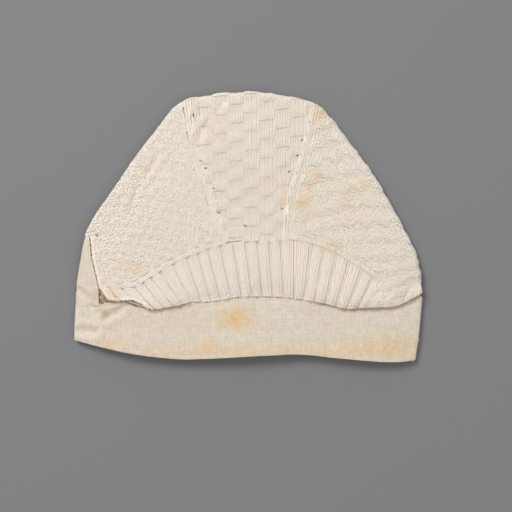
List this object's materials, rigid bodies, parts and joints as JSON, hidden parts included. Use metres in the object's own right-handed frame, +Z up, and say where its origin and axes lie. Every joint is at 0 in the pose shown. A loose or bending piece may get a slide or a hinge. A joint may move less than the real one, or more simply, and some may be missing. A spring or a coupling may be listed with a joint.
{
  "type": "knitted cap",
  "caption": "Traditional hand-knitted cap in cream cotton with a plain linen band, lying flat and empty, patterned in basketweave with a fan of ribs along the band.",
  "frame": {"origin": "centre of the cap's outline on the surface it lies on", "axes": "+X across the cap to the picture's right, +Y from the mouth to the closed top, +Z up from the surface it lies on"},
  "size_m": [0.2616, 0.202, 0.0151],
  "materials": {
    "knit": "matt cream hand-knitted cotton with faint yellow-brown age stains",
    "linen": "matt unbleached plain-weave linen with slubs and orange-brown stains"
  },
  "bodies": {
    "root": {"knitted_crown": "knit", "linen_band": "linen"}
  },
  "joints": []
}
